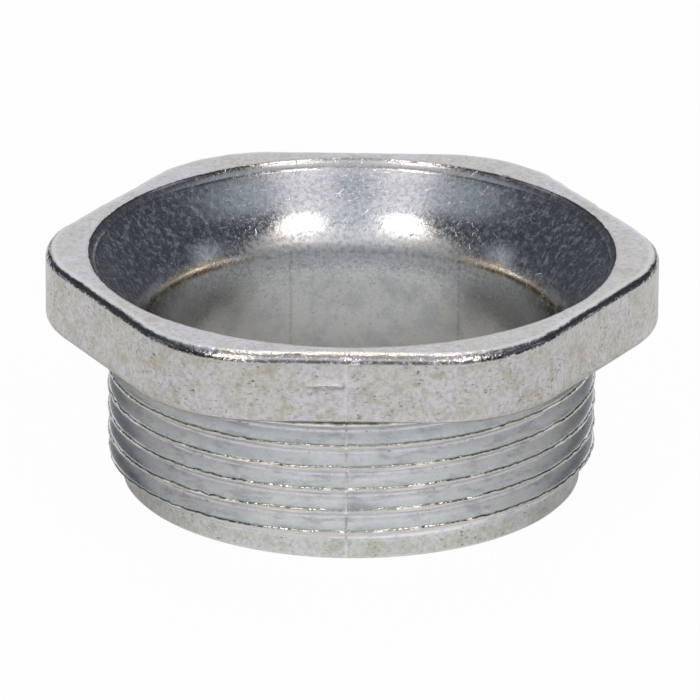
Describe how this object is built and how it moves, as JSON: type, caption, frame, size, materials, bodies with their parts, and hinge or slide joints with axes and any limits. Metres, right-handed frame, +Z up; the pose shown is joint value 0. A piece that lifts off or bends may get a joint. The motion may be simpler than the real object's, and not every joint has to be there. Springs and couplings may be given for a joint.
{
  "type": "chase nipple",
  "caption": "Die-cast conduit fitting with a hexagon head, a short male-threaded stub and a bell-mouthed throat that wires pass through.",
  "frame": {"origin": "middle of the threaded end face, on the axis of the throat", "axes": "+Z up along the throat's axis, from the threaded end to the head; +X towards a corner of the hexagon, +Y towards a flat"},
  "size_m": [0.0596, 0.0554, 0.0232],
  "materials": {
    "zinc": "die-cast zinc alloy, dull grey with a slight sheen"
  },
  "bodies": {
    "root": {"chase_nipple": "zinc"}
  },
  "joints": []
}
